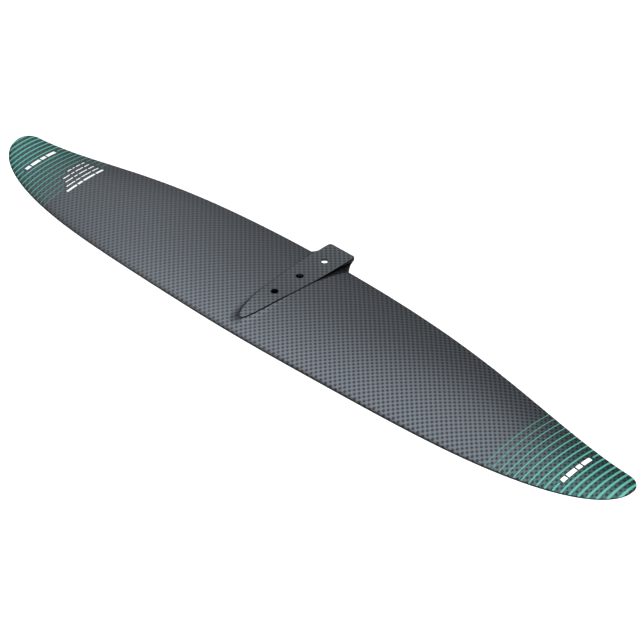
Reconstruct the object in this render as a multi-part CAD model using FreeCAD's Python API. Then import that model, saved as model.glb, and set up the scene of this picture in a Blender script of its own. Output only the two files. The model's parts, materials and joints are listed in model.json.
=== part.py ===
import FreeCAD, Part
import math
import os

from FreeCAD import Vector

# Front wing of a hydrofoil. X runs along the span, Y from the leading edge towards the trailing
# edge, Z up. The origin is on the axis of the middle bolt hole, in the plane of the fuselage seat.
# All sizes are in millimetres.

# Planform
half_span = 402.0
tip_y = 3.0                      # the outermost point of the tip lies this far behind the origin
leading_edge_reach = 97.5        # depth of the quarter ellipse that is the leading edge
root_trailing_y = 41.5
tip_trailing_y = 17.2
trailing_edge_power = 1.95
tip_round_start = 386.0          # from here out, the trailing edge turns in to the tip
tip_round_power = 2.2

# Height and pitch of the chord line
root_chord_height = -7.8         # height of the root's chord line at tip_y
tip_drop = 24.1
drop_power = 1.8
root_pitch = 0.063               # slope of the root's chord line, leading edge down
pitch_swell = 0.046              # extra slope of the outer wing
pitch_power = 1.4

# Section
root_thickness_ratio = 0.095
tip_thickness_ratio = 0.10
camber_ratio = 0.025
camber_power = 1.5               # puts the deepest camber at 60 % of the chord
edge_half_thickness = 0.5        # half the thickness of the trailing edge

# Lay-up. Depths are reached where the wing is thick and shrink with it.
skin_depth = 1.5
cap_depth = 3.6
nose_share = 0.03                # chord shares at which one piece gives way to the next
spar_front_share = 0.22
spar_rear_share = 0.37
web_share = 0.012
tail_share = 0.965
core_end = 362.0                 # foam and spar end here, solid tip block beyond
skin_end = 386.0                 # skins end here, solid tip cap beyond
cap_end = 401.8                  # the tip's small flat end
root_block_half = 30.0

# Fuselage seat
seat_half_width = 16.8
seat_side_end_y = 30.0           # the seat's sides are straight behind this line
seat_nose_length = 109.0         # and draw in to its nose over this length
seat_nose_power = 1.5
seat_side_power = 2.2
seat_flat_front_y = -30.0        # the seat is flat behind this line and bends down ahead of it
seat_bend_radius = 235.0
seat_rear_y = 59.0
seat_corner_radius = 3.5
seat_edge_round = 0.4
seat_skin_sink = 0.6             # how deep the seat's blank reaches into the skin before trimming
tongue_middle_y = 50.0
tongue_middle_floor = -4.6
tongue_rear_floor = -3.0

# Fairing round the seat, and the gusset that carries it behind the trailing edge
fairing_rise = 0.8               # how far up the seat's side wall the fairing climbs
fairing_toe = 0.1                # height of its thin outer edge
fairing_hollow = 0.15            # the smaller this is, the tighter its hollow
nose_flatness = 0.3              # added to it at the nose
fairing_least_reach = 1.2
nose_flare = 3.8                 # extra reach at the nose, which fades over nose_flare_length
nose_flare_length = 20.0
rear_flare = 6.3                 # extra reach at the trailing edge
rear_flare_length = 13.0
fairing_end_y = 41.3
fairing_shares = [0.0, 0.1, 0.2, 0.3, 0.4, 0.5, 0.6, 0.7, 0.78, 0.85, 0.9, 0.94, 0.97, 0.99, 1.0]
gusset_end_y = 55.0
gusset_power = 1.5
gusset_edge = 0.8                # height of the gusset's outer edge

# Bolt holes
bolt_pitch = 33.6
bolt_clearance_radius = 3.4
screw_seat_radius = 8.0
screw_seat_height = 4.5
rear_pocket_radius = 9.0         # the rear screw's head sits in a pocket in the underside
rear_pocket_top = -2.1
rear_washer_thickness = 0.7

# Printed decoration
film_thickness = 0.12
stripe_count = 17
outer_stripe_x = 398.5
stripe_pitch = 6.86
inner_stripe_width = 0.55
outer_stripe_width = 2.5
mark_stripe = 7                  # counted from the tip, this stripe is broken by the mark
mark_start_y = -32.0
mark_end_y = 7.0
mark_bar_width = 4.2
mark_shares = [0.17, 0.33, 0.17, 0.33]
label_stripes = [(13, -13.0), (14, -25.0), (15, -28.0), (16, -33.0)]   # stripe broken, first y of its line
label_title_y = -38.5
label_end_y = 9.5
label_line_width = 1.2
label_title_width = 2.6
label_shares = [0.30, 0.14, 0.34, 0.22]
bar_gap = 1.8
break_margin = 3.0               # bare skin between a stripe's broken end and the print

# Spanwise stations of the lofts
wing_stations = [0.0, 55.0, 110.0, 165.0, 220.0, 270.0, 315.0, 345.0, 362.0, 375.0, 386.0]
tip_block_stations = [362.0, 370.0, 378.0, 386.0]
tip_cap_stations = [386.0, 391.0, 395.0, 398.0, 400.0, 401.2, cap_end]


def span_share(x):
    return min(abs(x) / half_span, 1.0)


def leading_y(x):
    return tip_y - leading_edge_reach * math.sqrt(1.0 - span_share(x) ** 2)


def trailing_y(x):
    fall = (1.0 - span_share(x) ** 2) ** trailing_edge_power
    y = tip_trailing_y + (root_trailing_y - tip_trailing_y) * fall
    turn = max(0.0, (abs(x) - tip_round_start) / (half_span - tip_round_start))
    return tip_y + (y - tip_y) * (1.0 - turn ** tip_round_power) ** (1.0 / tip_round_power)


def chord_height(x, y):
    share = span_share(x)
    height = root_chord_height - tip_drop * (1.0 - math.cos(math.pi * share ** drop_power)) / 2.0
    slope = root_pitch + pitch_swell * math.sin(math.pi * share ** pitch_power) ** 2
    return height + slope * (y - tip_y)


def camber(share):
    deepest = 0.6 ** camber_power * 0.4
    return camber_ratio * share ** camber_power * (1.0 - share) / deepest


def half_thickness(x, share):
    ratio = root_thickness_ratio + (tip_thickness_ratio - root_thickness_ratio) * span_share(x)
    chord = trailing_y(x) - leading_y(x)
    shape = (0.2969 * math.sqrt(share) - 0.1260 * share - 0.3516 * share ** 2
             + 0.2843 * share ** 3 - 0.1036 * share ** 4)
    return 5.0 * ratio * chord * shape + edge_half_thickness * share


def wing_point(x, share, side, depth=0.0):
    """Point on the upper (side 1) or lower (side -1) surface, or a depth below it."""
    chord = trailing_y(x) - leading_y(x)
    y = leading_y(x) + share * chord
    half = half_thickness(x, share)
    inset = half * depth / (half + depth) if depth > 0.0 else 0.0
    return Vector(x, y, chord_height(x, y) + chord * camber(share) + side * (half - inset))


def share_at(x, y):
    return (y - leading_y(x)) / (trailing_y(x) - leading_y(x))


def upper_height(x, y):
    return wing_point(x, min(share_at(x, y), 1.0), 1).z


def spline(points, marks):
    curve = Part.BSplineCurve()
    curve.interpolate(Points=points, Parameters=marks)
    return curve.toShape()


def share_marks(first, last, count):
    """Marks spaced as the square root of the chord share, so that they crowd at the nose."""
    low = math.sqrt(first)
    high = math.sqrt(last)
    return [low + (high - low) * i / (count - 1) for i in range(count)]


def band_wire(x, first, last, top, bottom):
    """Closed section between two chord shares. top and bottom are (side, depth) of a surface."""
    marks = share_marks(first, last, 9)
    upper = [wing_point(x, m ** 2, *top) for m in marks]
    lower = [wing_point(x, m ** 2, *bottom) for m in marks]
    return Part.Wire([
        spline(upper, marks),
        Part.makeLine(upper[-1], lower[-1]),
        spline(list(reversed(lower)), [-m for m in reversed(marks)]),
        Part.makeLine(lower[0], upper[0]),
    ])


def nose_wire(x):
    """Rounded section of the leading edge, closed by its flat back."""
    reach = math.sqrt(nose_share)
    marks = [reach * i / 5.0 for i in range(-5, 6)]
    points = [wing_point(x, m ** 2, 1 if m > 0 else -1) for m in marks]
    return Part.Wire([spline(points, marks), Part.makeLine(points[-1], points[0])])


def whole_wire(x):
    """Section of the whole wing: upper side, trailing edge, lower side."""
    marks = share_marks(0.0, 1.0, 13)
    upper = [wing_point(x, m ** 2, 1) for m in marks]
    lower = [wing_point(x, m ** 2, -1) for m in marks]
    return Part.Wire([
        spline(upper, marks),
        Part.makeLine(upper[-1], lower[-1]),
        spline(list(reversed(lower)), [-m for m in reversed(marks)]),
    ])


def loft(wires):
    return Part.makeLoft(wires, True, False)


def both_sides(stations):
    return [-x for x in reversed(stations) if x > 0] + list(stations)


def between(stations, low, high):
    inner = [x for x in stations if low < x < high]
    return [low] + inner + [high]


def mirrored(shape):
    return shape.mirror(Vector(0, 0, 0), Vector(1, 0, 0))


def full_span_band(first, last, top, bottom, end):
    stations = both_sides(between(wing_stations, 0.0, end))
    return loft([band_wire(x, first, last, top, bottom) for x in stations])


def half_span_band(first, last, top, bottom, start, end):
    stations = between(wing_stations, start, end)
    return loft([band_wire(x, first, last, top, bottom) for x in stations])


def cylinder(radius, y, low, high):
    return Part.makeCylinder(radius, high - low, Vector(0, y, low))


def bolt_positions():
    return [-bolt_pitch, 0.0, bolt_pitch]


def bolt_holes():
    return [cylinder(bolt_clearance_radius, y, -30.0, 10.0) for y in bolt_positions()]


# Fuselage seat ------------------------------------------------------------------------------

def seat_top(y):
    ahead = max(0.0, seat_flat_front_y - y)
    return -(seat_bend_radius - math.sqrt(seat_bend_radius ** 2 - ahead ** 2))


def seat_side_point(share):
    """Point of the seat's outline ahead of its straight side, by its share of the half width."""
    ahead = (1.0 - share ** seat_side_power) ** (1.0 / seat_nose_power)
    return Vector(seat_half_width * share, seat_side_end_y - seat_nose_length * ahead, 0)


def seat_outline():
    """Bullet-shaped plan of the seat: rounded nose, swelling sides, square rear."""
    side = [seat_side_point(share) for share in (1.0, 0.985, 0.95, 0.88, 0.76, 0.6, 0.42, 0.22)]
    nose = seat_side_point(0.0)
    around = side + [nose] + [Vector(-p.x, p.y, 0) for p in reversed(side)]
    curve = Part.BSplineCurve()
    curve.interpolate(Points=around, InitialTangent=Vector(0, -1, 0), FinalTangent=Vector(0, 1, 0))
    r = seat_corner_radius
    w = seat_half_width
    bow = r * (1.0 - math.sqrt(0.5))
    left_end = Vector(-w, seat_side_end_y, 0)
    right_end = Vector(w, seat_side_end_y, 0)
    left_arc = [Vector(-w, seat_rear_y - r, 0), Vector(-w + bow, seat_rear_y - bow, 0),
                Vector(-w + r, seat_rear_y, 0)]
    right_arc = [Vector(-p.x, p.y, 0) for p in reversed(left_arc)]
    return Part.Wire([
        curve.toShape(),
        Part.makeLine(left_end, left_arc[0]),
        Part.Arc(*left_arc).toShape(),
        Part.makeLine(left_arc[2], right_arc[0]),
        Part.Arc(*right_arc).toShape(),
        Part.makeLine(right_arc[2], right_end),
    ])


def tongue_floor(y):
    """Height of the tongue's underside: a parabola from the lower skin to the rear edge."""
    y0, z0 = tail_y, wing_point(0.0, tail_share, -1).z
    y1, z1 = tongue_middle_y, tongue_middle_floor
    y2, z2 = seat_rear_y, tongue_rear_floor
    a = (y - y1) * (y - y2) / ((y0 - y1) * (y0 - y2))
    b = (y - y0) * (y - y2) / ((y1 - y0) * (y1 - y2))
    c = (y - y0) * (y - y1) / ((y2 - y0) * (y2 - y1))
    return z0 * a + z1 * b + z2 * c


def seat_profile():
    """Side view of the seat's blank, with the tongue that overhangs the trailing edge."""
    front_y = seat_side_point(0.0).y
    floor_marks = [front_y + (tail_y - front_y) * i / 8.0 for i in range(9)]
    floor = [Vector(0, y, upper_height(0.0, y) - seat_skin_sink) for y in floor_marks]
    tongue_marks = [tail_y + (seat_rear_y - tail_y) * i / 4.0 for i in range(5)]
    tongue = [Vector(0, y, tongue_floor(y)) for y in tongue_marks]
    nose_top = Vector(0, front_y, seat_top(front_y))
    bend_middle_y = (front_y + seat_flat_front_y) / 2.0
    bend_end = Vector(0, seat_flat_front_y, 0)
    rear_top = Vector(0, seat_rear_y, 0)
    return Part.Wire(Part.__sortEdges__([
        Part.Arc(nose_top, Vector(0, bend_middle_y, seat_top(bend_middle_y)), bend_end).toShape(),
        Part.makeLine(bend_end, rear_top),
        Part.makeLine(rear_top, tongue[-1]),
        spline(tongue, tongue_marks),
        Part.makeLine(tongue[0], floor[-1]),
        spline(floor, floor_marks),
        Part.makeLine(floor[0], nose_top),
    ]))


def largest_solid(shape):
    return max(shape.Solids, key=lambda solid: solid.Volume)


def on_seat_top(edge):
    ends = [v.Point for v in edge.Vertexes]
    return all(abs(p.z - seat_top(p.y)) < 0.01 for p in ends)


def crosses_seat(edge):
    ends = [v.Point for v in edge.Vertexes]
    return len(ends) == 2 and all(abs(p.y - seat_flat_front_y) < 0.01 for p in ends)


def mounting_plate(skins):
    plan = Part.Face(seat_outline()).extrude(Vector(0, 0, 40))
    plan.translate(Vector(0, 0, -30))
    side = Part.Face(seat_profile()).extrude(Vector(2 * half_span, 0, 0))
    side.translate(Vector(-half_span, 0, 0))
    blank = plan.common(side)
    rim = [e for e in blank.Edges if on_seat_top(e) and not crosses_seat(e)]
    plate = largest_solid(blank.makeFillet(seat_edge_round, rim).cut(skins))
    return largest_solid(plate.cut(bolt_holes() + [rear_pocket(), rear_washer()]))


def hollow_edge(top, corner, foot, hollow):
    """Hollow curve from the seat's wall out to its foot on the wing."""
    bend = corner + (foot - corner) * hollow + (top - corner) * hollow
    curve = Part.BezierCurve()
    curve.setPoles([top, bend, foot])
    return curve.toBSpline().toShape()


def hollow_section(top, corner, toe, edge_height, hollow):
    """The four edges of a section, in order: hollow, outer edge, base and wall."""
    foot = toe + Vector(0, 0, edge_height)
    return [
        hollow_edge(top, corner, foot, hollow),
        Part.makeLine(foot, toe),
        Part.makeLine(toe, corner),
        Part.makeLine(corner, top),
    ]


def ruled_solid(sections):
    """Solid that runs straight from each section to the next."""
    faces = [Part.Face(Part.Wire(sections[0])), Part.Face(Part.Wire(sections[-1]))]
    for near, far in zip(sections, sections[1:]):
        faces += [Part.makeRuledSurface(a, b) for a, b in zip(near, far)]
    shell = Part.makeShell(faces)
    shell.sewShape()
    return Part.makeSolid(shell)


def nose_share_at(y):
    """1 at the seat's nose, fading along its side."""
    return math.exp((seat_side_point(0.0).y - y) / nose_flare_length)


def fairing_reach(y):
    rear = rear_flare * math.exp((y - fairing_end_y) / rear_flare_length)
    return fairing_least_reach + nose_flare * nose_share_at(y) + rear


def fairing_section(wall, outward):
    """Section of the fairing between the seat's side wall and the wing, at one place."""
    out = wall + outward * fairing_reach(wall.y)
    corner = Vector(wall.x, wall.y, upper_height(wall.x, wall.y))
    top = corner + Vector(0, 0, fairing_rise * (seat_top(wall.y) - corner.z))
    toe = Vector(out.x, out.y, upper_height(out.x, out.y))
    hollow = fairing_hollow + nose_flatness * nose_share_at(wall.y)
    return hollow_section(top, corner, toe, fairing_toe, hollow)


def gusset_section(y):
    """Section of the gusset between the tongue's side and the trailing edge, at one place."""
    gone = (y - fairing_end_y) / (gusset_end_y - fairing_end_y)
    reach = fairing_reach(fairing_end_y) * (1.0 - gone) ** gusset_power
    corner = Vector(seat_half_width, y, tongue_floor(y))
    top = corner - Vector(0, 0, fairing_rise * corner.z)
    toe = Vector(seat_half_width + reach, y, tongue_floor(y))
    return hollow_section(top, corner, toe, gusset_edge, fairing_hollow)


def outline_normal(share):
    step = 0.001
    ahead = seat_side_point(min(share + step, 1.0))
    behind = seat_side_point(abs(share - step))
    if share < step:
        behind.x = -behind.x
    along = (ahead - behind).normalize()
    return Vector(along.y, -along.x, 0)


def seat_fairing(trailing_strip):
    """Hollow fairing from the nose along the seat's side, and the gusset behind the wing."""
    sections = [fairing_section(seat_side_point(share), outline_normal(share))
                for share in fairing_shares]
    sections += [fairing_section(Vector(seat_half_width, y, 0), Vector(1, 0, 0))
                 for y in (34.0, 38.0, fairing_end_y)]
    gusset = ruled_solid([gusset_section(y)
                          for y in (fairing_end_y, 42.5, 44.0, 46.0, 48.5, 51.5, 54.5)])
    return Part.makeCompound([ruled_solid(sections), largest_solid(gusset.cut(trailing_strip))])


# Bolt hardware ------------------------------------------------------------------------------

def lower_surface_height(y):
    return wing_point(0.0, share_at(0.0, y), -1).z


def countersunk_bush(y, bottom, top, outer_radius):
    """Metal bush with a straight hole and a 90 degree countersink open to the underside."""
    depth = top - bottom
    body = cylinder(outer_radius, y, bottom, top)
    hole = cylinder(bolt_clearance_radius, y, bottom - 1.0, top + 1.0)
    flare = min(depth - 0.8, outer_radius - bolt_clearance_radius - 0.8)
    cone = Part.makeCone(bolt_clearance_radius + flare, bolt_clearance_radius, flare,
                         Vector(0, y, bottom))
    return body.cut([hole, cone])


def rear_pocket():
    return cylinder(rear_pocket_radius, bolt_pitch, rear_pocket_top - 12.0, rear_pocket_top)


def rear_washer():
    top = rear_pocket_top + rear_washer_thickness
    ring = cylinder(rear_pocket_radius, bolt_pitch, rear_pocket_top, top)
    return ring.cut(cylinder(bolt_clearance_radius, bolt_pitch, rear_pocket_top - 1.0, top + 1.0))


def screw_seat_span(y):
    bottom = lower_surface_height(y) - 0.2
    return bottom, bottom + screw_seat_height


# Printed decoration -------------------------------------------------------------------------

def film(x_low, x_high, y_low, y_high):
    """Thin printed patch that lies on the upper skin."""
    wires = []
    for x in (x_low, x_high):
        first = max(share_at(x, y_low), 0.004)
        last = min(share_at(x, y_high), 0.999)
        marks = share_marks(first, last, 9)
        under = [wing_point(x, m ** 2, 1) for m in marks]
        over = [p + Vector(0, 0, film_thickness) for p in under]
        wires.append(Part.Wire([
            spline(over, marks),
            Part.makeLine(over[-1], under[-1]),
            spline(list(reversed(under)), [-m for m in reversed(marks)]),
            Part.makeLine(under[0], over[0]),
        ]))
    return Part.makeLoft(wires, True, True)


def stripe_x(index):
    return outer_stripe_x - stripe_pitch * index


def stripe_group(breaks):
    """All stripes of one tip. breaks gives the y range where a stripe makes room for print."""
    ribbons = []
    for index in range(stripe_count):
        grown = (outer_stripe_width - inner_stripe_width) * (1.0 - index / (stripe_count - 1.0))
        half = (inner_stripe_width + grown) / 2.0
        spans = [(-half_span, half_span)]
        if index in breaks:
            low, high = breaks[index]
            spans = [(-half_span, low - break_margin), (high + break_margin, half_span)]
        for low, high in spans:
            ribbons.append(film(stripe_x(index) - half, stripe_x(index) + half, low, high))
    return Part.makeCompound(ribbons)


def bar_row(x, width, y_low, y_high, shares):
    """A row of plain bars along the chord, standing in for a line of print."""
    inked = (y_high - y_low) - bar_gap * (len(shares) - 1)
    bars = []
    y = y_low
    for share in shares:
        bars.append(film(x - width / 2.0, x + width / 2.0, y, y + inked * share))
        y += inked * share + bar_gap
    return bars


def tip_mark():
    return Part.makeCompound(bar_row(
        stripe_x(mark_stripe), mark_bar_width, mark_start_y, mark_end_y, mark_shares))


def size_label():
    bars = bar_row(stripe_x(stripe_count), label_title_width, label_title_y, label_end_y, label_shares)
    for index, start in label_stripes:
        bars += bar_row(stripe_x(index), label_line_width, start, label_end_y, label_shares)
    return Part.makeCompound(bars)


tail_y = wing_point(0.0, tail_share, 1).y

upper = (1, 0.0)
lower = (-1, 0.0)
upper_inner = (1, skin_depth)
lower_inner = (-1, skin_depth)
upper_cap_inner = (1, cap_depth)
lower_cap_inner = (-1, cap_depth)

parts = {}

upper_skin = full_span_band(nose_share, tail_share, upper, upper_inner, skin_end)
lower_skin = full_span_band(nose_share, tail_share, lower_inner, lower, skin_end)
skins = Part.makeCompound([upper_skin, lower_skin])

parts["leading_edge_strip"] = loft([nose_wire(x) for x in both_sides(wing_stations)])
tail = half_span_band(tail_share, 1.0, upper, lower, seat_half_width, skin_end)
parts["right_trailing_edge"] = tail
parts["left_trailing_edge"] = mirrored(tail)

nose_core = half_span_band(nose_share, spar_front_share, upper_inner, lower_inner, 0.0, core_end)
rear_core = half_span_band(spar_rear_share, tail_share, upper_inner, lower_inner,
                           root_block_half, core_end)
parts["right_nose_core"] = nose_core
parts["left_nose_core"] = mirrored(nose_core)
parts["right_rear_core"] = rear_core
parts["left_rear_core"] = mirrored(rear_core)

inside_caps = (upper_cap_inner, lower_cap_inner)
parts["front_shear_web"] = full_span_band(
    spar_front_share, spar_front_share + web_share, *inside_caps, core_end)
parts["spar_core"] = full_span_band(
    spar_front_share + web_share, spar_rear_share - web_share, *inside_caps, core_end)
parts["rear_shear_web"] = full_span_band(
    spar_rear_share - web_share, spar_rear_share, *inside_caps, core_end)
parts["upper_spar_cap"] = full_span_band(
    spar_front_share, spar_rear_share, upper_inner, upper_cap_inner, core_end)
parts["lower_spar_cap"] = full_span_band(
    spar_front_share, spar_rear_share, lower_cap_inner, lower_inner, core_end)

tip_block = loft([band_wire(x, nose_share, tail_share, upper_inner, lower_inner)
                  for x in tip_block_stations])
tip_cap = loft([whole_wire(x) for x in tip_cap_stations])
parts["right_tip_block"] = tip_block
parts["left_tip_block"] = mirrored(tip_block)
parts["right_tip_cap"] = tip_cap
parts["left_tip_cap"] = mirrored(tip_cap)

bushes = []
pockets = []
for y in (-bolt_pitch, 0.0):
    bottom, top = screw_seat_span(y)
    bushes.append(countersunk_bush(y, bottom, top, screw_seat_radius))
    pockets.append(cylinder(screw_seat_radius, y, bottom - 10.0, top))
parts["screw_seats"] = Part.makeCompound(bushes)
parts["rear_screw_washer"] = rear_washer()
pockets.append(rear_pocket())

root_block = loft([band_wire(x, spar_rear_share, tail_share, upper_inner, lower_inner)
                   for x in (-root_block_half, -15.0, 0.0, 15.0, root_block_half)])
cutters = bolt_holes() + pockets
parts["upper_skin"] = upper_skin.cut(cutters)
parts["lower_skin"] = lower_skin.cut(cutters)
parts["root_block"] = root_block.cut(cutters)
parts["mounting_plate"] = mounting_plate(skins)

fairing = seat_fairing(tail)
parts["right_seat_fairing"] = fairing
parts["left_seat_fairing"] = mirrored(fairing)

mark_break = {mark_stripe: (mark_start_y, mark_end_y)}
label_breaks = {index: (start, label_end_y) for index, start in label_stripes}
parts["right_tip_stripes"] = stripe_group(mark_break)
parts["left_tip_stripes"] = mirrored(stripe_group({**mark_break, **label_breaks}))
mark = tip_mark()
parts["right_tip_mark"] = mark
parts["left_tip_mark"] = mirrored(mark)
parts["size_label"] = mirrored(size_label())

os.makedirs("parts", exist_ok=True)
for name, shape in parts.items():
    shape.exportStep("parts/" + name + ".step")
    print(name, "solids", len(shape.Solids), "valid", shape.isValid(), "volume", round(shape.Volume, 1))
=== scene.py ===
import json
import math

import bmesh
import bpy
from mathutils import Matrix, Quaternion, Vector

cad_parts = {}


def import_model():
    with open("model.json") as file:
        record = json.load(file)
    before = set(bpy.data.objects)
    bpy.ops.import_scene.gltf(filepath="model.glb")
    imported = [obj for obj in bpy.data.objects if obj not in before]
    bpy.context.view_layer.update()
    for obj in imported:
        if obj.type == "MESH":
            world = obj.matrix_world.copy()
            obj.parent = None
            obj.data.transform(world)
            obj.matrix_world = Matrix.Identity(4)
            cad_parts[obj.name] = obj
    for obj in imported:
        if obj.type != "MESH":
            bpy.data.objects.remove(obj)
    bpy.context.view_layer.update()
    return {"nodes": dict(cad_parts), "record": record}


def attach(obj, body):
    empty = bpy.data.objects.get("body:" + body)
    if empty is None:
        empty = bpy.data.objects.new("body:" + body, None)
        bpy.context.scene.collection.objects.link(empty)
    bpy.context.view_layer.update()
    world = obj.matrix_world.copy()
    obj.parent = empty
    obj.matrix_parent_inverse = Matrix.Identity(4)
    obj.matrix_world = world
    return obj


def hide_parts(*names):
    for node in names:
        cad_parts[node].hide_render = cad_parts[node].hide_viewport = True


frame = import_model()

# The front wing of a hydrofoil. The row frame has X along the span, Y aft, Z up, and its origin on
# the axis of the middle bolt hole in the plane of the fuselage seat. Shapes are worked out in
# millimetres, as in the part's source, and scaled to metres when a mesh is made.
mm = 0.001

# Planform, chord line and section
half_span = 402.0
tip_y = 3.0
leading_edge_reach = 97.5
root_trailing_y = 41.5
tip_trailing_y = 17.2
trailing_edge_power = 1.95
tip_round_start = 386.0
tip_round_power = 2.2
root_chord_height = -7.8
tip_drop = 24.1
drop_power = 1.8
root_pitch = 0.063
pitch_swell = 0.046
pitch_power = 1.4
root_thickness_ratio = 0.095
tip_thickness_ratio = 0.10
camber_ratio = 0.025
camber_power = 1.5
edge_half_thickness = 0.5

# Where one outer piece gives way to the next
skin_depth = 1.5
nose_share = 0.03
tail_share = 0.965
skin_end = 386.0
cap_end = 401.8

# Fuselage seat
seat_half_width = 16.8
seat_side_end_y = 30.0
seat_nose_length = 109.0
seat_nose_power = 1.5
seat_side_power = 2.2
seat_flat_front_y = -30.0
seat_bend_radius = 235.0
seat_rear_y = 59.0
seat_corner_radius = 3.5
seat_edge_round = 0.5
tongue_middle_y = 50.0
tongue_middle_floor = -4.6
tongue_rear_floor = -3.0
fairing_rise = 0.8
fairing_toe = 0.02
fairing_hollow = 0.15
nose_flatness = 0.3
fairing_least_reach = 1.2
nose_flare = 8.0
nose_flare_length = 30.0
rear_flare = 6.3
rear_flare_length = 13.0
fairing_end_y = 41.3
gusset_end_y = 55.0
gusset_power = 1.5
gusset_edge = 0.8
bolt_pitch = 33.6
bolt_clearance_radius = 3.4
screw_seat_radius = 8.0
screw_seat_height = 4.5
rear_pocket_radius = 9.0
rear_pocket_top = -2.1

# Print
film_lift = 0.08
edge_margin = 0.6
stripe_count = 17
outer_stripe_x = 398.5
stripe_pitch = 6.86
inner_stripe_width = 0.55
outer_stripe_width = 2.5
mark_stripe = 7
mark_start_y = -32.0
mark_end_y = 7.0
mark_bar_width = 4.2
mark_shares = [0.17, 0.33, 0.17, 0.33]
label_stripes = [(13, -13.0), (14, -25.0), (15, -28.0), (16, -33.0)]
label_title_y = -38.5
label_end_y = 9.5
label_line_width = 1.2
label_title_width = 2.6
label_shares = [0.30, 0.14, 0.34, 0.22]
bar_gap = 1.8
break_margin = 3.0
film_last_share = 0.999           # print ends just short of the trailing edge

# Fineness of the meshes
station_step = 4.0
tip_station_step = 0.6
skin_points = 44
nose_points = 12
tail_points = 5
tip_points = 40
film_points = 28
film_stations = 3
hole_sides = 48
seat_points = 40
seat_side_stations = 8
seat_corner_points = 9
seat_rear_points = 5
seat_top_round_points = 6
seat_under_round_points = 4
seat_rings = 16
seat_shrink = (0.02, 0.98)        # size of the seat's innermost and outermost shrunken ring
fairing_points = 10
fairing_stations = 48
fairing_side_stations = 9
gusset_stations = 16
normal_step = 0.001               # a normal spans this share of the half width to either side
merge_distance = 0.002
empty_distance = 0.001

# Angles, in degrees, above which an edge between faces stays sharp
plain_smooth = 35.0
nose_smooth = 60.0
tip_smooth = 50.0
seat_smooth = 40.0
fairing_smooth = 50.0

# Meeting of the pieces
overlap = 0.2                     # how far a fairing reaches into the seat's wall
sunk_depth = 0.3                  # and how far it sinks into the wing
seat_sink = 0.4                   # the seat's underside lies this far inside the wing
screw_seat_gap = 0.2              # between a screw seat and the top of its pocket
fairing_gap = 0.3                 # between the last ring of a fairing and its end
seat_centre_y = -5.0              # the seat's rings shrink towards this point
drill_low = -30.0                 # drills reach from below the wing
drill_high = 10.0                 # to above the seat

# Weave. Places along X and Y that a material reads are in metres.
tow = 3.0 * mm
dot_edge = (0.0, 0.25)
dot_fade = 0.25                   # painted light: the dots are this much fainter on the left
dot_fade_x = (-0.25, 0.20)
fibre_scale = 9000.0
fibre_squash = 0.12
streak_strength = 0.3
streak_relief = 0.15
weave_strength = 0.15
weave_depth = 0.08

# Carbon and its clear coat
net = (0.202, 0.208, 0.221, 1)
dot = (0.034, 0.037, 0.042, 1)
# Black painted as shade on faces that lean away from upward
black = (0.006, 0.006, 0.007, 1)
# Black painted as shade in and round the bolt holes and round the seat; hole_margin widens the painted
# shade round each hole
painted_shade_black = (0.0005, 0.0005, 0.0005, 1)
hole_margin = 0.5
carbon_roughness = 0.34
carbon_metal = 0.97
dot_metal_loss = 0.15
coat_weight = 0.6
coat_roughness = 0.25
edge_turn = (0.35, 0.6)           # upward lean of a face between which the painted black shade of the edge gives way
seat_turn = (0.5, 0.9)
tip_tint = (0.38, 0.90, 0.80, 1)
tip_tint_x = (0.26, 0.37)

# Painted shade round the seat: a dark line on its outline, wider on the right, and dark hollows beside
# it, by distance from the outline in millimetres
near_outline_shade = (0.45, 0.80)
far_outline_shade = (0.10, 0.55)
far_outline_shade_tone = 0.7
outline_shade_side_x = (-0.004, 0.004)
hollow_shade_y = (-0.005, 0.038)
hollow_shade_reach = 9.0
hollow_shade_soft = 0.75
hollow_shade_left_tone = 0.2
hollow_shade_right_gain = 0.65
least_reach = 0.01
nose_shade_length = 22.0
nose_shade_reach = 6.5
nose_shade_tone = 0.8
nose_shade_x = (0.005, 0.001)

# Print
mint_ink = (0.078, 0.337, 0.270, 1)
mint_rim = (0.063, 0.284, 0.228, 1)
mint_thinned = (1.0, 0.82, 0.84, 1)
white_ink = (0.92, 0.94, 0.94, 1)
white_rim = (0.80, 0.83, 0.83, 1)
ink_full_x = (0.28, 0.34)
ink_grain = 900.0
ink_roughness = 0.35
ink_coat = 0.6
ink_coat_roughness = 0.18

# Inner materials
grain_detail = 4.0
grain_strength = 0.3
grain_depth = 0.05
foam_depth = 0.2

# Stage, light and camera
floor_size = 12.0
floor_height = -2.0
paper_light = (0.97, 0.97, 0.97, 1)
paper_dark = (0.95, 0.95, 0.95, 1)
paper_grain = 40.0
paper_roughness = 0.9
cloth_white = (1.0, 1.0, 1.0, 1)
dome_colour = (0.92, 1.0, 1.07, 1)
dome_zenith = (-0.15, 0.0, 0.985)
dome_dark = 0.20
dome_overhead = 1.04
dome_rise = (0.69, 0.95)          # closeness to the zenith between which the overhead light rises
dome_left = 0.46
dome_left_rise = (-0.4, -0.75)
dome_low_share = 0.25             # share of the light that stays near the horizon
dome_low_fade = (0.2, 0.5)
dome_flank_share = 0.2            # and at the far left
dome_flank_fade = (-0.80, -0.93)
key_place = (3.8, -1.6, 3.4)
key_strength = 5.0
key_spread = 40.0
key_colour = (1.0, 0.95, 0.89)
camera_azimuth = 44.17
camera_elevation = 35.83
camera_distance = 2.8875
camera_aim = (0.04758, -0.02201, -0.015)
camera_roll = 0.275
camera_lens = 173.18
camera_sensor = 36.0
camera_reach = 60.0


# Wing surface -------------------------------------------------------------------------------

def span_share(x):
    return min(abs(x) / half_span, 1.0)


def leading_y(x):
    return tip_y - leading_edge_reach * math.sqrt(1.0 - span_share(x) ** 2)


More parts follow.
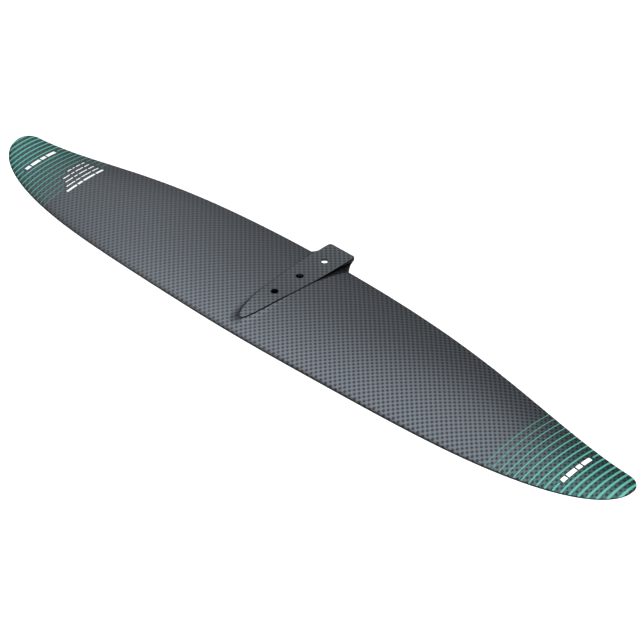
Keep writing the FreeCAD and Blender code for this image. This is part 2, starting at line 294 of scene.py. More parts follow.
def trailing_y(x):
    fall = (1.0 - span_share(x) ** 2) ** trailing_edge_power
    y = tip_trailing_y + (root_trailing_y - tip_trailing_y) * fall
    turn = max(0.0, (abs(x) - tip_round_start) / (half_span - tip_round_start))
    return tip_y + (y - tip_y) * (1.0 - turn ** tip_round_power) ** (1.0 / tip_round_power)


def chord_height(x, y):
    share = span_share(x)
    height = root_chord_height - tip_drop * (1.0 - math.cos(math.pi * share ** drop_power)) / 2.0
    slope = root_pitch + pitch_swell * math.sin(math.pi * share ** pitch_power) ** 2
    return height + slope * (y - tip_y)


def camber(share):
    """Height of the mean line over the chord line, as a share of the chord."""
    crest = camber_power / (camber_power + 1.0)
    crest_height = crest ** camber_power * (1.0 - crest)
    return camber_ratio * share ** camber_power * (1.0 - share) / crest_height


def half_thickness(x, share):
    """Half the thickness of a four-digit section that closes at its rear, plus the edge's own."""
    ratio = root_thickness_ratio + (tip_thickness_ratio - root_thickness_ratio) * span_share(x)
    chord = trailing_y(x) - leading_y(x)
    shape = (0.2969 * math.sqrt(share) - 0.1260 * share - 0.3516 * share ** 2
             + 0.2843 * share ** 3 - 0.1036 * share ** 4)
    return 5.0 * ratio * chord * shape + edge_half_thickness * share


def wing_point(x, share, side, depth=0.0):
    """Point of the wing's upper (side 1) or lower (-1) surface, or up to depth inside it."""
    chord = trailing_y(x) - leading_y(x)
    y = leading_y(x) + share * chord
    half = half_thickness(x, share)
    inset = half * depth / (half + depth) if depth > 0.0 else 0.0
    return Vector((x, y, chord_height(x, y) + chord * camber(share) + side * (half - inset)))


def share_at(x, y):
    return (y - leading_y(x)) / (trailing_y(x) - leading_y(x))


def upper_height(x, y):
    return wing_point(x, min(max(share_at(x, y), 0.0), 1.0), 1).z


tail_y = wing_point(0.0, tail_share, 1).y


# Mesh helpers -------------------------------------------------------------------------------

def spread(low, high, count):
    return [low + (high - low) * i / (count - 1.0) for i in range(count)]


def share_marks(first, last, count):
    """Square roots of shares of the chord, so that points crowd towards the leading edge."""
    return spread(math.sqrt(first), math.sqrt(last), count)


def make_piece(name, points, faces, material, smooth_angle=plain_smooth):
    mesh = bpy.data.meshes.new(name)
    mesh.from_pydata([Vector(p) * mm for p in points], [], faces)
    mesh.validate()
    piece = bpy.data.objects.new(name, mesh)
    bpy.context.scene.collection.objects.link(piece)
    tidy_mesh(piece)
    mesh.shade_smooth()
    mesh.set_sharp_from_angle(angle=math.radians(smooth_angle))
    piece.data.materials.append(material)
    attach(piece, "root")
    return piece


def tidy_mesh(piece):
    """Joins points that coincide, drops empty faces and turns every face outwards."""
    body = bmesh.new()
    body.from_mesh(piece.data)
    bmesh.ops.remove_doubles(body, verts=body.verts, dist=merge_distance * mm)
    bmesh.ops.dissolve_degenerate(body, edges=body.edges, dist=empty_distance * mm)
    bmesh.ops.recalc_face_normals(body, faces=body.faces)
    body.to_mesh(piece.data)
    body.free()


def loft_rings(rings, capped=True):
    """Skin over a row of rings of equal length. When capped, quads close both of its ends."""
    count = len(rings[0])
    points = [p for ring in rings for p in ring]
    faces = []
    for r in range(len(rings) - 1):
        for i in range(count):
            j = (i + 1) % count
            faces.append((r * count + i, r * count + j, (r + 1) * count + j, (r + 1) * count + i))
    if capped:
        half = count // 2
        for start in (0, (len(rings) - 1) * count):
            for i in range(half - 1):
                a, b = start + i, start + i + 1
                c, d = start + count - 2 - i, start + count - 1 - i
                faces.append((a, b, c, d))
    return points, faces


def loft_closed(rings):
    """Like loft_rings, with one face over each end."""
    points, faces = loft_rings(rings, capped=False)
    count = len(rings[0])
    faces.append(tuple(range(count)))
    faces.append(tuple(range((len(rings) - 1) * count, len(rings) * count))[::-1])
    return points, faces


def band_ring(x, first, last, top, bottom, count):
    marks = share_marks(first, last, count)
    upper = [wing_point(x, m ** 2, *top) for m in marks]
    lower = [wing_point(x, m ** 2, *bottom) for m in marks]
    return upper + lower[::-1]


def nose_ring(x, count):
    reach = math.sqrt(nose_share)
    upper = [wing_point(x, m ** 2, 1) for m in spread(reach, 0.0, count)]
    lower = [wing_point(x, m ** 2, -1) for m in spread(0.0, reach, count)]
    return upper + lower


def wing_stations(low, high, step):
    """Spanwise stations that crowd towards the tips."""
    count = int((high - low) / step) + 2
    return [half_span * math.sin(a) for a in
            spread(math.asin(low / half_span), math.asin(high / half_span), count)]


# Materials ----------------------------------------------------------------------------------

def ramp(tree, value, low, high, start=0.0, end=1.0):
    """Smooth change from start to end while value goes from low to high."""
    node = tree.nodes.new("ShaderNodeMapRange")
    node.interpolation_type = "SMOOTHSTEP"
    tree.links.new(value, node.inputs["Value"])
    for name, number in (("From Min", low), ("From Max", high), ("To Min", start), ("To Max", end)):
        node.inputs[name].default_value = number
    return node.outputs["Result"]


class Nodes:
    """Short calls for making and joining a material's nodes."""

    def __init__(self, name):
        self.material = bpy.data.materials.new(name)
        self.material.use_nodes = True
        self.tree = self.material.node_tree
        self.shader = self.tree.nodes["Principled BSDF"]

    def put(self, value, socket):
        if isinstance(value, bpy.types.NodeSocket):
            self.tree.links.new(value, socket)
        elif value is not None:
            socket.default_value = value

    def math(self, operation, a, b=None):
        node = self.tree.nodes.new("ShaderNodeMath")
        node.operation = operation
        self.put(a, node.inputs[0])
        self.put(b, node.inputs[1])
        return node.outputs[0]

    def step(self, value, low, high):
        return ramp(self.tree, value, low, high)

    def mix(self, factor, a, b, blend="MIX"):
        """Mix of two colours, which this node has in inputs 6 and 7 and in output 2."""
        node = self.tree.nodes.new("ShaderNodeMix")
        node.data_type = "RGBA"
        node.blend_type = blend
        self.put(factor, node.inputs["Factor"])
        self.put(a, node.inputs[6])
        self.put(b, node.inputs[7])
        return node.outputs[2]

    def tint(self, tone, colour):
        return self.mix(1.0, tone, colour, "MULTIPLY")

    def place(self):
        """X, Y and Z of the shaded point in the row frame, in metres."""
        where = self.tree.nodes.new("ShaderNodeTexCoord")
        parts = self.tree.nodes.new("ShaderNodeSeparateXYZ")
        self.tree.links.new(where.outputs["Object"], parts.inputs[0])
        return parts.outputs[0], parts.outputs[1], parts.outputs[2]

    def point(self, x, y, z):
        node = self.tree.nodes.new("ShaderNodeCombineXYZ")
        for value, socket in zip((x, y, z), node.inputs):
            self.put(value, socket)
        return node.outputs[0]

    def noise(self, vector, scale, detail=2.0):
        node = self.tree.nodes.new("ShaderNodeTexNoise")
        self.put(vector, node.inputs["Vector"])
        node.inputs["Scale"].default_value = scale
        node.inputs["Detail"].default_value = detail
        return node.outputs["Fac"]

    def bump(self, height, strength, distance):
        node = self.tree.nodes.new("ShaderNodeBump")
        node.inputs["Strength"].default_value = strength
        node.inputs["Distance"].default_value = distance
        self.put(height, node.inputs["Height"])
        self.put(node.outputs[0], self.shader.inputs["Normal"])

    def set(self, **values):
        for name, value in values.items():
            self.put(value, self.shader.inputs[name.replace("_", " ")])


def weave(nodes):
    """Plain weave of flat tows. Returns its dark dots, its crowns and the streaks of its fibres."""
    x, y, z = nodes.place()
    across = nodes.math("DIVIDE", x, tow)
    along = nodes.math("DIVIDE", y, tow)
    cells = nodes.math("ADD", nodes.math("FLOOR", across), nodes.math("FLOOR", along))
    top = nodes.math("MULTIPLY", nodes.math("FRACT", nodes.math("MULTIPLY", cells, 0.5)), 2.0)
    crown_x = nodes.math("SINE", nodes.math("MULTIPLY", nodes.math("FRACT", across), math.pi))
    crown_y = nodes.math("SINE", nodes.math("MULTIPLY", nodes.math("FRACT", along), math.pi))
    crown = nodes.math("MULTIPLY", crown_x, crown_y)
    dots = nodes.math("MULTIPLY", top, nodes.step(crown, *dot_edge))
    # Painted light: the dots fade towards the left.
    clear = nodes.math("MULTIPLY", nodes.step(x, *dot_fade_x), dot_fade)
    dots = nodes.math("MULTIPLY", dots, nodes.math("ADD", clear, 1.0 - dot_fade))
    spanwise = nodes.point(nodes.math("MULTIPLY", x, fibre_squash), y, z)
    chordwise = nodes.point(x, nodes.math("MULTIPLY", y, fibre_squash), z)
    spanwise = nodes.noise(spanwise, fibre_scale)
    chordwise = nodes.noise(chordwise, fibre_scale)
    turned = nodes.math("MULTIPLY", top, nodes.math("SUBTRACT", chordwise, spanwise))
    return dots, crown, nodes.math("ADD", spanwise, turned)


def bolt_hole_shade(nodes):
    """Painted shade: 1 in and just round the three bolt holes, 0 elsewhere."""
    x, y = nodes.place()[:2]
    beside = nodes.math("ABSOLUTE", nodes.math("SUBTRACT", nodes.math("ABSOLUTE", y), bolt_pitch * mm))
    nearest = nodes.math("MINIMUM", nodes.math("ABSOLUTE", y), beside)
    far = nodes.math("SQRT", nodes.math("ADD", nodes.math("MULTIPLY", x, x),
                                        nodes.math("MULTIPLY", nearest, nearest)))
    return nodes.math("LESS_THAN", far, (bolt_clearance_radius + hole_margin) * mm)


def beyond_seat(nodes, x, y):
    """Distance outside the seat's outline, in millimetres, by the outline's own equation."""
    across = nodes.math("DIVIDE", nodes.math("ABSOLUTE", x), seat_half_width * mm)
    ahead = nodes.math("MAXIMUM", nodes.math("SUBTRACT", seat_side_end_y * mm, y), 0.0)
    ahead = nodes.math("DIVIDE", ahead, seat_nose_length * mm)
    level = nodes.math("SUBTRACT", nodes.math("ADD", nodes.math("POWER", across, seat_side_power),
                                              nodes.math("POWER", ahead, seat_nose_power)), 1.0)
    slope_x = nodes.math("MULTIPLY", nodes.math("POWER", across, seat_side_power - 1.0),
                         seat_side_power / seat_half_width)
    slope_y = nodes.math("MULTIPLY", nodes.math("POWER", ahead, seat_nose_power - 1.0),
                         seat_nose_power / seat_nose_length)
    slope = nodes.math("SQRT", nodes.math("ADD", nodes.math("MULTIPLY", slope_x, slope_x),
                                          nodes.math("MULTIPLY", slope_y, slope_y)))
    return nodes.math("DIVIDE", level, slope)


def outline_shade_line(nodes, beyond, right):
    """Painted shade in a line on the seat's outline, wider on the right."""
    off = nodes.math("ABSOLUTE", beyond)
    far_line = nodes.math("MULTIPLY", nodes.math("SUBTRACT", 1.0, nodes.step(off, *far_outline_shade)),
                          far_outline_shade_tone)
    near_line = nodes.math("SUBTRACT", 1.0, nodes.step(off, *near_outline_shade))
    wider = nodes.math("MULTIPLY", right, nodes.math("SUBTRACT", near_line, far_line))
    return nodes.math("ADD", far_line, wider)


def rear_hollow_shade(nodes, y, beyond, outside, right):
    """Painted shade of the hollow beside the seat's rear, deeper on the right."""
    reach = nodes.math("ADD", nodes.math("MULTIPLY", nodes.step(y, *hollow_shade_y),
                                         hollow_shade_reach), least_reach)
    near = nodes.math("SUBTRACT", 1.0, nodes.math("DIVIDE", beyond, reach))
    near = nodes.math("MULTIPLY", nodes.step(near, 0.0, hollow_shade_soft), outside)
    side = nodes.math("ADD", nodes.math("MULTIPLY", right, hollow_shade_right_gain), hollow_shade_left_tone)
    return nodes.math("MULTIPLY", near, side)


def nose_hollow_shade(nodes, x, y, beyond, outside):
    """Painted shade of the hollow round the left of the seat's nose."""
    behind = nodes.math("SUBTRACT", y, (seat_side_end_y - seat_nose_length) * mm)
    fade = nodes.math("POWER", math.e, nodes.math("DIVIDE", behind, -nose_shade_length * mm))
    near = nodes.math("SUBTRACT", 1.0, nodes.math("DIVIDE", beyond,
                                                  nodes.math("MULTIPLY", fade, nose_shade_reach)))
    near = nodes.math("MULTIPLY", nodes.step(near, 0.0, 1.0), outside)
    near = nodes.math("MULTIPLY", near, nodes.step(x, *nose_shade_x))
    return nodes.math("MULTIPLY", near, nose_shade_tone)


def seat_outline_shade(nodes):
    """Painted shade round the seat: 1 where the line on its outline and the hollows beside it are
    darkest, 0 away from them.
    """
    x, y = nodes.place()[:2]
    beyond = beyond_seat(nodes, x, y)
    right = nodes.step(x, *outline_shade_side_x)
    outside = nodes.math("GREATER_THAN", beyond, 0.0)
    hollows = nodes.math("MAXIMUM", rear_hollow_shade(nodes, y, beyond, outside, right),
                         nose_hollow_shade(nodes, x, y, beyond, outside))
    return nodes.math("MAXIMUM", outline_shade_line(nodes, beyond, right), hollows)


def edge_painted_shade(nodes, tone, turn):
    """Painted shade: lets black take over where the surface leans away from upward."""
    facing = nodes.tree.nodes.new("ShaderNodeNewGeometry")
    parts = nodes.tree.nodes.new("ShaderNodeSeparateXYZ")
    nodes.tree.links.new(facing.outputs["Normal"], parts.inputs[0])
    return nodes.mix(nodes.step(parts.outputs[2], *turn), black, tone)


def tinted_tips(nodes, tone):
    tinted = nodes.tint(tone, tip_tint)
    return nodes.mix(nodes.step(nodes.math("ABSOLUTE", nodes.place()[0]), *tip_tint_x), tone, tinted)


def carbon(name, turn=None, outline_shade=False):
    """Woven carbon, with painted shade in and round the bolt holes. turn is where painted black shade
    begins on faces that lean away from upward, and the third argument adds the painted shade round the
    seat.
    """
    nodes = Nodes(name)
    dots, crown, streaks = weave(nodes)
    tone = nodes.mix(nodes.math("MULTIPLY", streaks, streak_strength), net, dot)
    tone = nodes.mix(dots, tone, dot)
    if turn:
        # Painted shade: black on faces that lean away from upward.
        tone = edge_painted_shade(nodes, tone, turn)
    coat = coat_weight
    if outline_shade:
        # Painted shade round the seat: black, with its coat taken away there.
        shade = seat_outline_shade(nodes)
        tone = nodes.mix(shade, tone, painted_shade_black)
        coat = nodes.math("SUBTRACT", coat_weight, nodes.math("MULTIPLY", shade, coat_weight))
    # Painted shade in and round the bolt holes: black, and fully metallic there.
    hole = bolt_hole_shade(nodes)
    tone = tinted_tips(nodes, nodes.mix(hole, tone, painted_shade_black))
    shine = nodes.math("SUBTRACT", carbon_metal, nodes.math("MULTIPLY", dots,
                                                            carbon_metal * dot_metal_loss))
    nodes.set(Base_Color=tone, Roughness=carbon_roughness, Metallic=nodes.math("MAXIMUM", shine, hole),
              Coat_Weight=coat, Coat_Roughness=coat_roughness)
    relief = nodes.math("ADD", crown, nodes.math("MULTIPLY", streaks, streak_relief))
    nodes.bump(relief, weave_strength, weave_depth * mm)
    return nodes.material


def print_ink(name, colour, rim, thinned=None):
    """Ink, which may be thinner, and so tinted by the carbon, on the inboard stripes."""
    nodes = Nodes(name)
    x, y, z = nodes.place()
    tone = nodes.mix(nodes.noise(nodes.point(x, y, z), ink_grain), colour, rim)
    if thinned:
        solid = nodes.step(nodes.math("ABSOLUTE", x), *ink_full_x)
        tone = nodes.mix(solid, nodes.tint(tone, thinned), tone)
    nodes.set(Base_Color=tone, Roughness=ink_roughness, Coat_Weight=ink_coat,
              Coat_Roughness=ink_coat_roughness)
    return nodes.material


def grained(name, light, dark, scale, roughness, metallic=0.0, depth=grain_depth):
    """Plain material with a fine grain between two tones, and painted shade in and round the bolt
    holes.
    """
    nodes = Nodes(name)
    x, y, z = nodes.place()
    grain = nodes.noise(nodes.point(x, y, z), scale, grain_detail)
    # Painted shade in and round the bolt holes: black, and fully metallic there.
    hole = bolt_hole_shade(nodes)
    tone = nodes.mix(hole, nodes.mix(grain, light, dark), painted_shade_black)
    nodes.set(Base_Color=tone, Roughness=roughness, Metallic=nodes.math("MAXIMUM", hole, metallic))
    nodes.bump(grain, grain_strength, depth * mm)
    return nodes.material


# carbon_edge and carbon_seat paint black shade on faces that lean away from upward.
carbon_weave = carbon("carbon_weave")
carbon_edge = carbon("carbon_edge", edge_turn)
carbon_seat = carbon("carbon_seat", seat_turn, outline_shade=True)
mint = print_ink("mint_print", mint_ink, mint_rim, mint_thinned)
white = print_ink("white_print", white_ink, white_rim)
laminate = grained("solid_laminate", light=(0.05, 0.052, 0.056, 1), dark=(0.015, 0.016, 0.018, 1),
                   scale=1400.0, roughness=0.55)
spar_carbon = grained("spar_carbon", light=(0.07, 0.072, 0.078, 1), dark=(0.02, 0.021, 0.024, 1),
                      scale=900.0, roughness=0.4)
foam = grained("foam_core", light=(0.80, 0.75, 0.60, 1), dark=(0.62, 0.57, 0.43, 1),
               scale=1100.0, roughness=0.9, depth=foam_depth)
steel = grained("screw_seat_steel", light=(0.62, 0.62, 0.62, 1), dark=(0.45, 0.45, 0.46, 1),
                scale=2600.0, roughness=0.3, metallic=1.0)


# Outer pieces of the wing -------------------------------------------------------------------

def drill(piece, radius, y, low, high):
    """Cuts a round hole through a piece."""
    ring = [(radius * math.cos(a), y + radius * math.sin(a))
            for a in spread(0.0, 2.0 * math.pi, hole_sides + 1)[:-1]]
    points = [Vector((px, py, z)) * mm for z in (low, high) for px, py in ring]
    n = hole_sides
    faces = [(i, (i + 1) % n, n + (i + 1) % n, n + i) for i in range(n)]
    faces += [tuple(range(n))[::-1], tuple(range(n, 2 * n))]
    mesh = bpy.data.meshes.new("drill")
    mesh.from_pydata(points, [], faces)
    tool = bpy.data.objects.new("drill", mesh)
    bpy.context.scene.collection.objects.link(tool)
    cut = piece.modifiers.new("hole", "BOOLEAN")
    cut.object = tool
    cut.operation = "DIFFERENCE"
    cut.solver = "EXACT"
    bpy.context.view_layer.update()
    done = bpy.data.meshes.new_from_object(piece.evaluated_get(bpy.context.evaluated_depsgraph_get()))
    piece.modifiers.clear()
    piece.data = done
    bpy.data.objects.remove(tool)
    done.set_sharp_from_angle(angle=math.radians(plain_smooth))


def full_span_stations():
    stations = wing_stations(0.0, skin_end, station_step)
    return [-x for x in reversed(stations) if x > 0] + stations


def shell(name, node, top, bottom):
    rings = [band_ring(x, nose_share, tail_share, top, bottom, skin_points)
             for x in full_span_stations()]
    points, faces = loft_rings(rings)
    piece = make_piece(name, points, faces, carbon_weave)
    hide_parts(node)
    return piece


upper = (1, 0.0)
lower = (-1, 0.0)
upper_inner = (1, skin_depth)
lower_inner = (-1, skin_depth)

upper_shell = shell("upper_shell", "upper_skin", upper, upper_inner)
lower_shell = shell("lower_shell", "lower_skin", lower_inner, lower)


def mirror_points(points, side):
    return [(side * p[0], p[1], p[2]) for p in points]


def nose_band():
    points, faces = loft_rings([nose_ring(x, nose_points) for x in full_span_stations()])
    piece = make_piece("leading_edge_band", points, faces, carbon_edge, nose_smooth)
    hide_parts("leading_edge_strip")


def tail_strip(word, side):
    stations = wing_stations(seat_half_width, skin_end, station_step)
    points, faces = loft_rings([band_ring(x, tail_share, 1.0, upper, lower, tail_points)
                                for x in stations])
    piece = make_piece(word + "_tail_strip", mirror_points(points, side), faces,
                       carbon_weave)
    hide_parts(word + "_trailing_edge")


def tip_end(word, side):
    stations = wing_stations(skin_end, cap_end, tip_station_step)
    points, faces = loft_rings([band_ring(x, 0.0, 1.0, upper, lower, tip_points) for x in stations])
    piece = make_piece(word + "_tip_end", mirror_points(points, side), faces,
                       carbon_edge, tip_smooth)
    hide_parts(word + "_tip_cap")


# Print --------------------------------------------------------------------------------------

def stripe_x(index):
    return outer_stripe_x - stripe_pitch * index


def film(x_low, x_high, y_low, y_high):
    """Points and faces of a thin patch of print on the upper side."""
    rings = []
    for x in spread(x_low, x_high, film_stations):
        first = max(share_at(x, y_low), edge_margin / (trailing_y(x) - leading_y(x)))
        last = min(share_at(x, y_high), film_last_share)
        marks = share_marks(first, last, film_points)
        under = [wing_point(x, m ** 2, 1) for m in marks]
        rings.append([p + Vector((0, 0, film_lift)) for p in under] + under[::-1])
    return loft_rings(rings)


def print_piece(name, node, patches, side, material):
    points = []
    faces = []
    for patch_points, patch_faces in patches:
        start = len(points)
        points += patch_points
        faces += [tuple(start + i for i in face) for face in patch_faces]
    piece = make_piece(name, mirror_points(points, side), faces, material)
    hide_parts(node)


def stripe_patches(breaks):
    """All stripes of one tip. breaks gives, by stripe, the stretch along Y that stays clear."""
    patches = []
    for index in range(stripe_count):
        grown = (outer_stripe_width - inner_stripe_width) * (1.0 - index / (stripe_count - 1.0))
        half = (inner_stripe_width + grown) / 2.0
        spans = [(-half_span, half_span)]
        if index in breaks:
            low, high = breaks[index]
            spans = [(-half_span, low - break_margin), (high + break_margin, half_span)]
        for low, high in spans:
            patches.append(film(stripe_x(index) - half, stripe_x(index) + half, low, high))
    return patches


def bar_patches(x, width, y_low, y_high, shares):
    """A row of bars in place of a word or a line of text."""
    inked = (y_high - y_low) - bar_gap * (len(shares) - 1)
    patches = []
    y = y_low
    for share in shares:
        patches.append(film(x - width / 2.0, x + width / 2.0, y, y + inked * share))
        y += inked * share + bar_gap
    return patches


def label_patches():
    """The bars in place of the label's title and of its four lines."""
    patches = bar_patches(stripe_x(stripe_count), label_title_width, label_title_y, label_end_y,
                          label_shares)
    for index, start in label_stripes:
        patches += bar_patches(stripe_x(index), label_line_width, start, label_end_y, label_shares)
    return patches


# Fuselage seat ------------------------------------------------------------------------------

def seat_top(y):
    """Height of the seat's top: flat, then bending down towards the nose."""
    ahead = max(0.0, seat_flat_front_y - y)
    return -(seat_bend_radius - math.sqrt(seat_bend_radius ** 2 - ahead ** 2))


def seat_side_point(share):
    """Point of the seat's outline ahead of its straight side, by its share of the half width."""
    ahead = (1.0 - share ** seat_side_power) ** (1.0 / seat_nose_power)
    return Vector((seat_half_width * share, seat_side_end_y - seat_nose_length * ahead, 0))


def seat_side_points():
    """Right half of the seat's outline, from the nose to the middle of its rear edge."""
    shares = [math.sin(a) for a in spread(0.0, math.pi / 2.0, seat_points)]
    points = [tuple(seat_side_point(share)[:2]) for share in shares]
    r = seat_corner_radius
    for y in spread(seat_side_end_y, seat_rear_y - r, seat_side_stations)[1:]:
        points.append((seat_half_width, y))
    for a in spread(0.0, math.pi / 2.0, seat_corner_points)[1:]:
        points.append((seat_half_width - r + r * math.cos(a), seat_rear_y - r + r * math.sin(a)))
    for x in spread(seat_half_width - r, 0.0, seat_rear_points)[1:]:
        points.append((x, seat_rear_y))
    return points


def tongue_floor(y):
    """Height of the tongue's underside: a parabola from the lower skin to the rear edge."""
    y0, z0 = tail_y, wing_point(0.0, tail_share, -1).z
    y1, z1 = tongue_middle_y, tongue_middle_floor
    y2, z2 = seat_rear_y, tongue_rear_floor
    a = (y - y1) * (y - y2) / ((y0 - y1) * (y0 - y2))
    b = (y - y0) * (y - y2) / ((y1 - y0) * (y1 - y2))
    c = (y - y0) * (y - y1) / ((y2 - y0) * (y2 - y1))
    return z0 * a + z1 * b + z2 * c


def seat_floor(x, y):
    """Height of the seat's underside: just inside the wing, then the tongue's own underside."""
    return upper_height(x, y) - seat_sink if y < tail_y else tongue_floor(y)


def seat_plate():
    """The seat, from rings that grow over its top, turn down its wall and shrink underneath."""
    side = seat_side_points()
    outline = side + [(-x, y) for x, y in side[-2:0:-1]]
    normals = []
    for i in range(len(outline)):
        ax, ay = outline[i - 1]
        bx, by = outline[(i + 1) % len(outline)]
        length = math.hypot(bx - ax, by - ay)
        normals.append(((by - ay) / length, -(bx - ax) / length))

    def ring(inset, height):
        return [Vector((x - nx * inset, y - ny * inset, height(x, y)))
                for (x, y), (nx, ny) in zip(outline, normals)]

    def shrunk(base, k, height):
        made = []
        for p in base:
            x, y = p.x * k, seat_centre_y + (p.y - seat_centre_y) * k
            made.append(Vector((x, y, height(x, y))))
        return made

    r = seat_edge_round
    rings = []
    top_edge = ring(r, lambda x, y: seat_top(y))
    for k in spread(*seat_shrink, seat_rings):
        rings.append(shrunk(top_edge, k, lambda x, y: seat_top(y)))
    for a in spread(0.0, math.pi / 2.0, seat_top_round_points):
        inset = r * (1.0 - math.sin(a))
        rings.append(ring(inset, lambda x, y: seat_top(y) - r * (1.0 - math.cos(a))))
    for a in spread(0.0, math.pi / 2.0, seat_under_round_points):
        inset = r * (1.0 - math.cos(a))
        rings.append(ring(inset, lambda x, y: seat_floor(x, y) + r * (1.0 - math.sin(a))))
    under_edge = rings[-1]
    for k in spread(*seat_shrink[::-1], seat_rings):
        rings.append(shrunk(under_edge, k, seat_floor))
    points, faces = loft_closed(rings)
    piece = make_piece("seat_plate", points, faces, carbon_seat, seat_smooth)
    for y in (-bolt_pitch, 0.0, bolt_pitch):
        drill(piece, bolt_clearance_radius, y, drill_low, drill_high)
    drill(piece, rear_pocket_radius, bolt_pitch, drill_low, rear_pocket_top)
    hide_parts("mounting_plate")


def hollow_curve(top, corner, foot, hollow, count):
    """Hollow curve from the wall out to its foot. The smaller hollow is, the tighter the curve."""
    bend = corner + (foot - corner) * hollow + (top - corner) * hollow
    return [top * (1 - t) ** 2 + bend * 2 * t * (1 - t) + foot * t ** 2 for t in spread(0, 1, count)]


def fairing_reach(y):
    nose = nose_flare * math.exp((seat_side_point(0.0).y - y) / nose_flare_length)
    rear = rear_flare * math.exp((y - fairing_end_y) / rear_flare_length)
    return fairing_least_reach + nose + rear


def fairing_bend(y):
    """How flat the fairing's hollow is: flatter round the nose."""
    return fairing_hollow + nose_flatness * math.exp((seat_side_point(0.0).y - y) / nose_flare_length)


def outline_normal(share):
    ahead = seat_side_point(min(share + normal_step, 1.0))
    behind = seat_side_point(abs(share - normal_step))
    if share < normal_step:
        behind.x = -behind.x
    along = (ahead - behind).normalized()
    return Vector((along.y, -along.x, 0))


def fairing_ring(wall, outward):
    """Section of the fairing between the seat's side wall and the wing, at one place."""
    inside = wall - outward * overlap
    out = wall + outward * fairing_reach(wall.y)
    corner = Vector((inside.x, inside.y, upper_height(inside.x, inside.y)))
    top = corner + Vector((0, 0, fairing_rise * (seat_top(inside.y) - corner.z)))
    foot = Vector((out.x, out.y, upper_height(out.x, out.y) + fairing_toe))
    sunk = Vector((0, 0, sunk_depth))
    curve = hollow_curve(top, corner, foot, fairing_bend(wall.y), fairing_points)
    return curve + [foot - sunk, corner - sunk]


def gusset_ring(y):
    """Section of the gusset between the tongue's side and the trailing edge, at one place."""
    gone = (y - fairing_end_y) / (gusset_end_y - fairing_end_y)
    reach = fairing_reach(fairing_end_y) * (1.0 - gone) ** gusset_power
    wall_x = seat_half_width - overlap
    corner = Vector((wall_x, y, tongue_floor(y)))
    top = corner - Vector((0, 0, fairing_rise * corner.z))
    foot = Vector((wall_x + overlap + reach, y, tongue_floor(y) + gusset_edge))
    base = foot - Vector((0, 0, gusset_edge))
    return hollow_curve(top, corner, foot, fairing_hollow, fairing_points) + [base, corner]


def fairing(word, side):
    """Hollow fairing from the nose along the seat's side, and the gusset behind the wing."""
    shares = [math.sin(a) for a in spread(0.0, math.pi / 2.0, fairing_stations)]
    rings = [fairing_ring(seat_side_point(share), outline_normal(share)) for share in shares]
    rings += [fairing_ring(Vector((seat_half_width, y, 0)), Vector((1, 0, 0)))
              for y in spread(seat_side_end_y, fairing_end_y - fairing_gap,
                              fairing_side_stations)[1:]]
    rings += [gusset_ring(y) for y in spread(fairing_end_y, gusset_end_y - fairing_gap,
                                             gusset_stations)]
    points, faces = loft_closed(rings)
    piece = make_piece(word + "_fairing", mirror_points(points, side), faces,
                       carbon_seat, fairing_smooth)
    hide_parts(word + "_seat_fairing")


for y in (-bolt_pitch, 0.0):
    under = wing_point(0.0, share_at(0.0, y), -1).z
    drill(upper_shell, bolt_clearance_radius, y, drill_low, drill_high)
    drill(lower_shell, screw_seat_radius, y, drill_low, under + screw_seat_height - screw_seat_gap)
drill(upper_shell, bolt_clearance_radius, bolt_pitch, drill_low, drill_high)
drill(lower_shell, rear_pocket_radius, bolt_pitch, drill_low, rear_pocket_top)
drill(upper_shell, rear_pocket_radius, bolt_pitch, drill_low, rear_pocket_top)

nose_band()
mark_break = {mark_stripe: (mark_start_y, mark_end_y)}
label_breaks = {index: (start, label_end_y) for index, start in label_stripes}
for word, side, breaks in (("right", 1, {}), ("left", -1, label_breaks)):
    tail_strip(word, side)
    tip_end(word, side)
    fairing(word, side)
    print_piece(word + "_stripes", word + "_tip_stripes",
                stripe_patches({**mark_break, **breaks}), side, mint)
    print_piece(word + "_mark", word + "_tip_mark",
                bar_patches(stripe_x(mark_stripe), mark_bar_width, mark_start_y, mark_end_y,
                            mark_shares), side, white)
print_piece("label", "size_label", label_patches(), -1, white)
seat_plate()

inner_materials = {"solid_laminate": laminate, "spar_carbon": spar_carbon, "foam_core": foam,
                   "screw_seat_steel": steel}
for row in frame["record"]["subparts"]:
    if row["material_slot"] in inner_materials:
        node = frame["nodes"][row["node"]]
        node.data.materials.clear()
        node.data.materials.append(inner_materials[row["material_slot"]])


# Stage, light and camera --------------------------------------------------------------------

def floor():
    mesh = bpy.data.meshes.new("floor")
    corners = ((-1, -1), (1, -1), (1, 1), (-1, 1))
    mesh.from_pydata([(x * floor_size, y * floor_size, floor_height) for x, y in corners], [],
                     [(0, 1, 2, 3)])
    piece = bpy.data.objects.new("floor", mesh)
    bpy.context.scene.collection.objects.link(piece)
    nodes = Nodes("floor_paper")
    x, y, z = nodes.place()
    fibre = nodes.noise(nodes.point(x, y, z), paper_grain)
    nodes.set(Base_Color=nodes.mix(fibre, paper_light, paper_dark), Roughness=paper_roughness)
    mesh.materials.append(nodes.material)


def key_light():
    """Broad soft light from the right. Gloss doesn't mirror it."""
    lamp = bpy.data.lights.new("key", "SUN")
    lamp.energy = key_strength
    lamp.angle = math.radians(key_spread)
    lamp.color = key_colour
    light = bpy.data.objects.new("key", lamp)
    light.location = key_place
    light.visible_glossy = False
    light.rotation_euler = (-Vector(key_place)).to_track_quat("-Z", "Y").to_euler()
    bpy.context.scene.collection.objects.link(light)


def joined(tree, operation, a, b):
    node = tree.nodes.new("ShaderNodeMath")
    node.operation = operation
    tree.links.new(a, node.inputs[0])
    tree.links.new(b, node.inputs[1])
    return node.outputs[0]


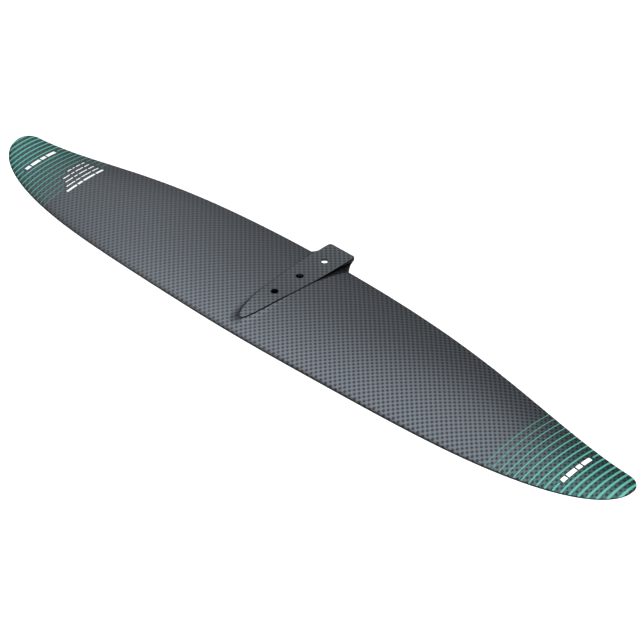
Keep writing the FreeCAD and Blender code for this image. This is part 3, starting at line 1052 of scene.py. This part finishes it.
def dome_strength(tree):
    """Brightness of the dome in each direction."""
    where = tree.nodes.new("ShaderNodeTexCoord").outputs["Generated"]
    parts = tree.nodes.new("ShaderNodeSeparateXYZ")
    tree.links.new(where, parts.inputs[0])
    zenith = tree.nodes.new("ShaderNodeVectorMath")
    zenith.operation = "DOT_PRODUCT"
    zenith.inputs[1].default_value = dome_zenith
    tree.links.new(where, zenith.inputs[0])
    aside, up = parts.outputs[0], parts.outputs[2]
    overhead = ramp(tree, zenith.outputs["Value"], *dome_rise, dome_dark, dome_dark + dome_overhead)
    left = ramp(tree, aside, *dome_left_rise, 0.0, dome_left)
    total = joined(tree, "ADD", overhead, left)
    total = joined(tree, "MULTIPLY", total, ramp(tree, up, *dome_low_fade, dome_low_share, 1.0))
    return joined(tree, "MULTIPLY", total, ramp(tree, aside, *dome_flank_fade, 1.0, dome_flank_share))


def world():
    """Soft studio dome, bright overhead and on the left. The camera sees a white cloth instead."""
    sky = bpy.data.worlds.new("studio")
    sky.use_nodes = True
    tree = sky.node_tree
    dome = tree.nodes["Background"]
    dome.inputs["Color"].default_value = dome_colour
    tree.links.new(dome_strength(tree), dome.inputs["Strength"])
    cloth = tree.nodes.new("ShaderNodeBackground")
    cloth.inputs["Color"].default_value = cloth_white
    path = tree.nodes.new("ShaderNodeLightPath")
    choice = tree.nodes.new("ShaderNodeMixShader")
    tree.links.new(path.outputs["Is Camera Ray"], choice.inputs[0])
    tree.links.new(dome.outputs[0], choice.inputs[1])
    tree.links.new(cloth.outputs[0], choice.inputs[2])
    tree.links.new(choice.outputs[0], tree.nodes["World Output"].inputs["Surface"])
    bpy.context.scene.world = sky


def camera():
    azimuth = math.radians(camera_azimuth)
    elevation = math.radians(camera_elevation)
    back = Vector((math.sin(azimuth) * math.cos(elevation), -math.cos(azimuth) * math.cos(elevation),
                   math.sin(elevation)))
    data = bpy.data.cameras.new("camera")
    data.lens = camera_lens
    data.sensor_width = camera_sensor
    data.clip_end = camera_reach
    view = bpy.data.objects.new("camera", data)
    view.location = back * camera_distance
    look = (Vector(camera_aim) - view.location).to_track_quat("-Z", "Y")
    view.rotation_mode = "QUATERNION"
    view.rotation_quaternion = look @ Quaternion((0, 0, 1), math.radians(camera_roll))
    bpy.context.scene.collection.objects.link(view)
    bpy.context.scene.camera = view


floor()
world()
key_light()
camera()
bpy.context.scene.view_settings.view_transform = "Standard"
